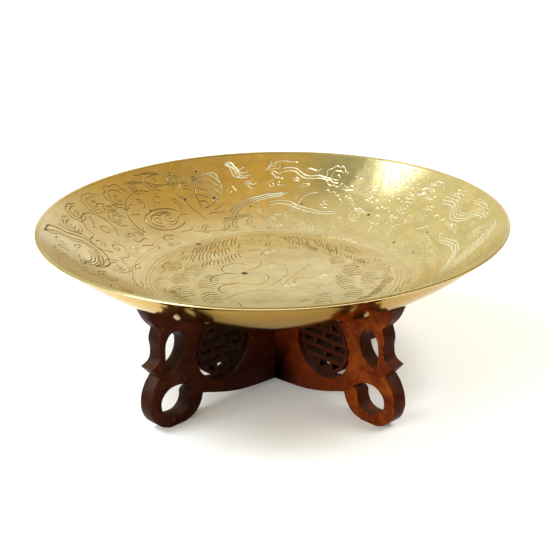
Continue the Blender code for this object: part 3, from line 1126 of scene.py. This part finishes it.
def brass_material():
    """Polished brass: tarnish, painted shade, brown spots, fine scratches, cut residue dark, or pale with
    painted reflection.
    """
    n = Nodes(bpy.data.materials.new("polished_brass"))
    outside = n.attribute("outside")
    cloudy = n.noise(16, 5, 0.6, distortion=0.8)
    spot = brown_spots(n)
    residue = n.rise(n.attribute("groove"), 0.3, 0.7)
    # Pale cuts: dried polish with painted reflection.
    pale = pale_residue_and_painted_reflection(n)
    colour = n.mix(spot, tarnish(n, cloudy), SPOT)
    colour = n.mix(residue, colour, n.mix(pale, DARK_RESIDUE, PALE_RESIDUE_AND_REFLECTION))

    # Spots, residue and a thin film of tarnish are dull, and the rest is bare metal.
    chalk = n.times(residue, n.plus(n.times(pale, 0.55), 0.15))
    film = n.times(n.ramp(cloudy, [(0.35, 0.04), (0.65, 0.12)]), n.minus(1.0, outside))
    dull = n.plus(n.plus(n.times(spot, 0.4), chalk), film)

    rough = n.ramp(n.noise(60, 4, 0.7), [(0.3, 0.14), (0.75, 0.25)])
    for share, value in ((outside, 0.11), (spot, 0.6), (residue, 0.66)):
        rough = n.mix(share, rough, value)
    scratches = n.bump(n.noise(900, 3, 0.6, n.stretch((1, 0.12, 1), (0, 0, 0.6))), 0.06, 0.0004)
    dents = n.bump(n.noise(95, 2, 0.5), 0.12, 0.0009, Normal=scratches)
    # Painted shade: a yellower edge tint dims the underside's grazing reflections.
    edge_tint = n.mix(outside, 1.0, UNDERSIDE_EDGE_PAINTED_SHADE)
    return n.finish(Base_Color=colour, Metallic=n.minus(1.0, dull), Roughness=rough,
                    Specular_Tint=edge_tint, Normal=dents)


# ---- The stand ----

def softened(node, name, body, width, segments, material):
    """A copy of a CAD piece with its edges rounded, which stands for it."""
    work = bmesh.new()
    work.from_mesh(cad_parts[node].data)
    bmesh.ops.remove_doubles(work, verts=work.verts, dist=0.01 * MM)
    bmesh.ops.dissolve_limit(work, angle_limit=math.radians(0.5), verts=work.verts, edges=work.edges)
    mesh = bpy.data.meshes.new(name)
    work.to_mesh(mesh)
    work.free()
    mesh.shade_smooth()
    mesh.materials.clear()
    mesh.materials.append(material)
    piece = add_object(name, mesh)
    bevel = piece.modifiers.new("softened_edges", "BEVEL")
    bevel.width = width
    bevel.segments = segments
    bevel.limit_method = "ANGLE"
    bevel.angle_limit = SHARP_ANGLE
    bevel.harden_normals = True
    bevel.use_clamp_overlap = True
    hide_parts(node)
    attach(piece, body)


PALE_NICK = (0.30, 0.14, 0.06)
# Dust, and painted sheen for the light that upward ledges catch.
DUST_AND_SHEEN = (0.09, 0.08, 0.07)


def wood_material(name, along, light, dark, worn):
    """Dark lacquered hardwood: grain along one axis, pores, wear with painted shade near the crossing,
    pale nicks, dust and painted sheen on ledges.
    """
    n = Nodes(bpy.data.materials.new(name))
    turn = (0, 0, 0) if along == "X" else (0, 0, math.radians(90))
    middle = tuple((a + b) / 2 for a, b in zip(light, dark))
    figure = n.noise(1.0, 6, 0.6, n.stretch((9, 60, 60), turn), 0.5)
    colour = n.ramp(figure, [(0.25, dark), (0.5, middle), (0.75, light)])
    pores = n.noise(1.0, 3, 0.6, n.stretch((60, 900, 900), turn))
    colour = n.mix(n.ramp(pores, [(0.35, 0.6), (0.5, 0.0)]), colour, tuple(0.3 * c for c in dark))
    colour = n.mix(n.rise(n.noise(28, 4, 0.65), 0.42, 0.68, 0.8), colour, dark)
    rubbed = n.rise(n.noise(85, 5, 0.7), 0.44, 0.62, 0.8)
    # Paler rubbed wear only away from the crossing: near it the wood stays darker, as less wear and as
    # painted shade under the dish.
    outward = n.ramp(n.round_axis()[1], [(0.06, 0.1), (0.115, 1.0)])
    colour = n.mix(n.times(rubbed, outward), colour, worn)
    nick = n.specks(300, (0.86, 0.9), (0.1, 0.24))
    colour = n.mix(n.times(nick, 0.5), colour, PALE_NICK)

    facing = n.split(n.coordinates["Normal"])
    end_grain = n.rise(n.math("ABSOLUTE", facing[along]), 0.45, 0.85, 0.7)
    colour = n.mix(end_grain, colour, tuple(0.5 * c for c in dark))
    # Grey on upward-facing ledges: dust, and painted sheen.
    ledge = n.rise(facing["Z"], 0.25, 0.8, 0.4)
    dust_and_sheen = n.times(ledge, n.ramp(n.noise(160, 4, 0.7), [(0.3, 0.4), (0.6, 1.0)]))
    colour = n.mix(dust_and_sheen, colour, DUST_AND_SHEEN)
    rough = n.ramp(n.noise(70, 4, 0.7), [(0.3, 0.30), (0.75, 0.52)])
    rough = n.mix(dust_and_sheen, rough, 0.8)
    normal = n.bump(pores, 0.15, 0.0004)
    normal = n.bump(n.noise(120, 3, 0.5), 0.15, 0.0008, Normal=normal)
    return n.finish(Base_Color=colour, Roughness=rough, Normal=normal, Specular_IOR_Level=0.03)


# Each board with its grain's axis, its two frets, and the light, dark and worn colours of both. The
# upper board's colours are much lighter than the lower board's: painted light on the arm that faces
# the light and painted shade on the arm that faces away.
BOARDS = (
    ("upper", "X", ("front_right", "back_left"),
     ((0.145, 0.023, 0.002), (0.045, 0.006, 0.001), (0.19, 0.040, 0.004)),
     ((0.050, 0.010, 0.003), (0.016, 0.004, 0.002), (0.07, 0.016, 0.005))),
    ("lower", "Y", ("front_left", "back_right"),
     ((0.058, 0.010, 0.002), (0.022, 0.004, 0.001), (0.066, 0.015, 0.005)),
     ((0.040, 0.011, 0.005), (0.014, 0.004, 0.002), (0.06, 0.018, 0.008))),
)
BOARD_EDGE = 0.9 * MM
FRET_EDGE = 0.4 * MM
SHARP_ANGLE = math.radians(40)


def make_stand():
    """Both boards and their four fret discs, with softened edges."""
    for board, axis, _, colours, _ in BOARDS:
        wood = wood_material(f"lacquered_board_{axis.lower()}", axis, *colours)
        softened(f"{board}_board", f"carved_{board}_board", f"stand_{board}",
                 BOARD_EDGE, 3, wood)
    for board, axis, sides, _, colours in BOARDS:
        wood = wood_material(f"fretwork_{axis.lower()}", axis, *colours)
        for side in sides:
            softened(f"fret_disc_{side}", f"fret_{side}", f"stand_{board}",
                     FRET_EDGE, 2, wood)


# ---- Floor, light and camera ----

def direction(azimuth, elevation):
    """Unit vector towards a place round the object: azimuth 0 is -Y and 90 is +X."""
    return Vector((math.sin(azimuth) * math.cos(elevation),
                   -math.cos(azimuth) * math.cos(elevation), math.sin(elevation)))


def make_floor():
    """A wide pale floor, a little below the feet, which glows softly away from the object."""
    bpy.ops.mesh.primitive_plane_add(size=FLOOR_SIZE, location=(0, 0, -FLOOR_GAP))
    floor = bpy.context.object
    floor.name = "floor"
    n = Nodes(bpy.data.materials.new("pale_paper"))
    glow = n.ramp(n.math("DIVIDE", n.round_axis()[1], 3), [(0.2, 0.15), (0.7, 0.6)])
    floor.data.materials.append(n.finish(Base_Color=(0.80, 0.86, 0.94, 1), Roughness=0.8,
                                         Specular_IOR_Level=0.1, Emission_Color=(1, 1, 1, 1),
                                         Emission_Strength=glow))


def aim(thing, target, way, distance, roll=0):
    """Put a lamp or the camera at a distance from its target, facing it."""
    thing.location = target + way * distance
    thing.rotation_mode = "QUATERNION"
    turn = Matrix.Rotation(roll, 4, "Z").to_quaternion()
    thing.rotation_quaternion = (-way).to_track_quat("-Z", "Y") @ turn


def area_light(name, azimuth, elevation, distance, size, power, colour):
    """A lit square that faces the object, placed round it from the camera's side in degrees."""
    data = bpy.data.lights.new(name, "AREA")
    data.energy = power
    data.color = colour
    data.size = size
    light = add_object(name, data)
    way = direction(VIEW_AZIMUTH + math.radians(azimuth), math.radians(elevation))
    aim(light, Vector((0, 0, LIGHT_TARGET_HEIGHT)), way, distance)
    return light


def make_lights():
    """Two soft boxes that the brass doesn't mirror, a low fill, and a window that it does."""
    for side, power, colour in ((-1, 51, (0.94, 0.98, 1.0)), (1, 42, (1.0, 0.975, 0.93))):
        soft_box = area_light("soft_box", 77 * side, 53, 2.3, 1.0, power, colour)
        soft_box.visible_glossy = False
    area_light("fill", -50, 13, 1.8, 0.9, 28, (1.0, 0.97, 0.93))
    area_light("window", -115, 57, 2.4, 0.5, 2.5, (0.92, 1.0, 1.0))


def make_world():
    """A white surround low behind the object, warm and darker overhead, dim in front."""
    world = bpy.data.worlds.new("studio")
    bpy.context.scene.world = world
    n = Nodes(world)
    n.position = n.coordinates["Generated"]
    way, right, back = n.pattern_axes()

    # How far a direction leans from the white surround behind towards the warm ceiling.
    lean = n.plus(n.minus(n.times(right, 0.72), back), 0.75)
    warm = n.rise(n.times(lean, 1.4), 0.0, 1.0)
    across = n.plus(right, 0.5)
    side = n.rise(across, 0.0, 1.0)
    ceiling = n.ramp(across, [(0.15, (0.27, 0.28, 0.12)), (0.5, (0.60, 0.365, 0.02)),
                              (0.85, (0.50, 0.32, 0.04))])
    pale = n.ramp(across, [(0.2, (0.72, 0.68, 0.42)), (0.5, (0.76, 0.72, 0.59)),
                           (0.8, (0.90, 0.87, 0.80))])
    room = n.mix(warm, pale, ceiling)
    deep = n.rise(n.times(lean, 0.9), 0.62, 0.86)
    room = n.mix(n.times(deep, n.times(side, 0.75)), room, (0.42, 0.25, 0.02))

    # A darker thing overhead shows in the brass beside the bright window.
    away = n.vector_math("DISTANCE", way, (-0.33, 0.03, 0.94))["Value"]
    room = n.mix(n.ramp(away, [(0.06, 0.85), (0.19, 0.0)]), room, (0.13, 0.15, 0.05))
    near = n.ramp(n.plus(back, 0.75), [(0.0, 1.0), (0.5, 0.0)])
    front = n.mix(side, (0.34, 0.31, 0.28), (0.05, 0.045, 0.04))
    n.fill(n.tree.nodes["Background"], {"Color": n.mix(near, room, front)})


def make_camera():
    """The photograph's view."""
    data = bpy.data.cameras.new("camera")
    data.lens = VIEW_LENS
    data.sensor_width = VIEW_SENSOR
    data.clip_start = 0.01
    data.clip_end = 50
    camera = add_object("camera", data)
    right = Vector((math.cos(VIEW_AZIMUTH), math.sin(VIEW_AZIMUTH), 0))
    target = right * VIEW_TARGET_RIGHT + Vector((0, 0, VIEW_TARGET_HEIGHT))
    aim(camera, target, direction(VIEW_AZIMUTH, VIEW_ELEVATION), VIEW_DISTANCE, VIEW_ROLL)
    bpy.context.scene.camera = camera


make_floor()
make_world()
make_lights()
make_camera()
make_stand()
make_dish()
bpy.context.scene.view_settings.view_transform = "Standard"
